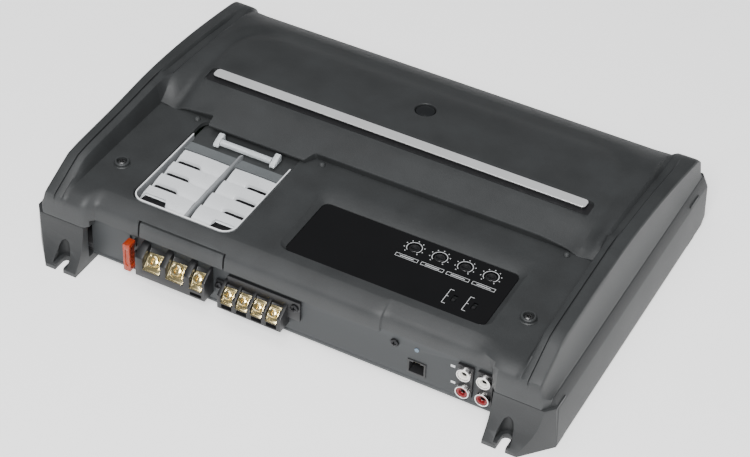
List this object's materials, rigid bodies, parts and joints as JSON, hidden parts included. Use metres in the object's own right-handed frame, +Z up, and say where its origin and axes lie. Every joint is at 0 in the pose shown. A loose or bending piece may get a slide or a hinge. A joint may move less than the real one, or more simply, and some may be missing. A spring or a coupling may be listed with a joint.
{
  "type": "car amplifier",
  "caption": "Car audio power amplifier in a low charcoal housing with vent grille, adjustment panel, screw terminals, blade fuse and phono inputs.",
  "frame": {"origin": "on the mounting surface, under the middle of the housing", "axes": "+Z up, the terminal side faces -Y, the long side runs along X"},
  "size_m": [0.325, 0.23, 0.0616],
  "materials": {
    "cover_plastic": "fine-grained satin charcoal",
    "skirt_plastic": "satin charcoal",
    "cast_aluminium": "as cast",
    "bottom_steel": "black paint",
    "panel_paint": "satin grey paint",
    "terminal_plastic": "moulded black",
    "gold_plate": "gold plated",
    "gold_screw": "gold plated",
    "fuse_plastic": "translucent red orange",
    "tinned_metal": "bright tin plating",
    "white_plastic": "moulded",
    "red_plastic": "moulded",
    "clear_plastic": "frosted silvery",
    "clear_bar": "clear moulded",
    "label_black": "gloss black",
    "pot_case": "plain",
    "brushed_trim": "brushed lengthways",
    "indicator_plastic": "translucent blue",
    "black_screw": "black oxide",
    "circuit_board": "solder mask",
    "copper_winding": "enamelled",
    "can_sleeve": "shrink sleeve",
    "ferrite": "coated",
    "epoxy_package": "moulded epoxy",
    "led_plastic": "clear tinted",
    "adjuster_plastic": "moulded",
    "slider_plastic": "moulded"
  },
  "bodies": {
    "amplifier": {"top_cover": "cover_plastic", "terminal_hood": "cover_plastic", "left_skirt": "skirt_plastic", "right_skirt": "skirt_plastic", "heat_sink": "cast_aluminium", "bottom_plate": "bottom_steel", "front_panel": "panel_paint", "rear_panel": "panel_paint", "power_terminal_block": "terminal_plastic", "power_terminal_plates": "gold_plate", "speaker_terminal_block": "terminal_plastic", "speaker_terminal_plates": "gold_plate", "fuse_holder": "terminal_plastic", "speaker_input_socket": "terminal_plastic", "speaker_input_pins": "tinned_metal", "rca_housing": "terminal_plastic", "rca_shells": "tinned_metal", "rca_white_insulators": "white_plastic", "rca_red_insulators": "red_plastic", "rca_contacts": "tinned_metal", "vent_grille": "clear_plastic", "light_bar": "clear_bar", "label_plate": "label_black", "adjuster_pots": "pot_case", "switch_bodies": "pot_case", "trim_strip": "brushed_trim", "indicator_lens": "indicator_plastic", "cover_screws": "black_screw", "panel_screws": "black_screw", "bottom_screws": "black_screw", "board_posts": "tinned_metal", "main_circuit_board": "circuit_board", "control_board": "circuit_board", "board_connector": "terminal_plastic", "toroid_transformer": "copper_winding", "filter_capacitors": "can_sleeve", "output_inductors": "ferrite", "power_transistors": "epoxy_package", "transistor_clamps": "bottom_steel", "power_led": "led_plastic"},
    "battery_screw": {"battery_screw": "gold_screw"},
    "ground_screw": {"ground_screw": "gold_screw"},
    "remote_screw": {"remote_screw": "gold_screw"},
    "speaker_screw_1": {"speaker_screw_1": "gold_screw"},
    "speaker_screw_2": {"speaker_screw_2": "gold_screw"},
    "speaker_screw_3": {"speaker_screw_3": "gold_screw"},
    "speaker_screw_4": {"speaker_screw_4": "gold_screw"},
    "gain_adjuster": {"gain_adjuster": "adjuster_plastic"},
    "lowpass_adjuster": {"lowpass_adjuster": "adjuster_plastic"},
    "highpass_adjuster": {"highpass_adjuster": "adjuster_plastic"},
    "bass_adjuster": {"bass_adjuster": "adjuster_plastic"},
    "filter_switch_slider": {"filter_switch_slider": "slider_plastic"},
    "mode_switch_slider": {"mode_switch_slider": "slider_plastic"},
    "blade_fuse": {"blade_fuse": "fuse_plastic"}
  },
  "joints": [
    {"name": "battery_screw_turn", "type": "hinge", "parent": "amplifier", "child": "battery_screw", "pos_m": [-0.0815, -0.1016, 0.0222], "axis": [0, -0.7071, 0.7071], "continuous": true},
    {"name": "ground_screw_turn", "type": "hinge", "parent": "amplifier", "child": "ground_screw", "pos_m": [-0.0665, -0.1016, 0.0222], "axis": [0, -0.7071, 0.7071], "continuous": true},
    {"name": "remote_screw_turn", "type": "hinge", "parent": "amplifier", "child": "remote_screw", "pos_m": [-0.0528, -0.1016, 0.0222], "axis": [0, -0.7071, 0.7071], "continuous": true},
    {"name": "speaker_screw_1_turn", "type": "hinge", "parent": "amplifier", "child": "speaker_screw_1", "pos_m": [-0.0331, -0.1024, 0.02], "axis": [0, -0.7071, 0.7071], "continuous": true},
    {"name": "speaker_screw_2_turn", "type": "hinge", "parent": "amplifier", "child": "speaker_screw_2", "pos_m": [-0.0237, -0.1024, 0.02], "axis": [0, -0.7071, 0.7071], "continuous": true},
    {"name": "speaker_screw_3_turn", "type": "hinge", "parent": "amplifier", "child": "speaker_screw_3", "pos_m": [-0.0143, -0.1024, 0.02], "axis": [0, -0.7071, 0.7071], "continuous": true},
    {"name": "speaker_screw_4_turn", "type": "hinge", "parent": "amplifier", "child": "speaker_screw_4", "pos_m": [-0.0049, -0.1024, 0.02], "axis": [0, -0.7071, 0.7071], "continuous": true},
    {"name": "gain_adjuster_turn", "type": "hinge", "parent": "amplifier", "child": "gain_adjuster", "pos_m": [0.048, -0.0427, 0.04], "axis": [0, 0, 1], "range_deg": [-140, 140]},
    {"name": "lowpass_adjuster_turn", "type": "hinge", "parent": "amplifier", "child": "lowpass_adjuster", "pos_m": [0.0635, -0.0427, 0.04], "axis": [0, 0, 1], "range_deg": [-140, 140]},
    {"name": "highpass_adjuster_turn", "type": "hinge", "parent": "amplifier", "child": "highpass_adjuster", "pos_m": [0.0789, -0.0427, 0.04], "axis": [0, 0, 1], "range_deg": [-140, 140]},
    {"name": "bass_adjuster_turn", "type": "hinge", "parent": "amplifier", "child": "bass_adjuster", "pos_m": [0.0943, -0.0427, 0.04], "axis": [0, 0, 1], "range_deg": [-140, 140]},
    {"name": "filter_switch_slider_slide", "type": "slide", "parent": "amplifier", "child": "filter_switch_slider", "axis": [0, 1, 0], "range_m": [0, 0.002]},
    {"name": "mode_switch_slider_slide", "type": "slide", "parent": "amplifier", "child": "mode_switch_slider", "axis": [0, 1, 0], "range_m": [0, 0.002]},
    {"name": "fuse_pull", "type": "slide", "parent": "amplifier", "child": "blade_fuse", "axis": [0, -1, 0], "range_m": [0, 0.014]}
  ]
}
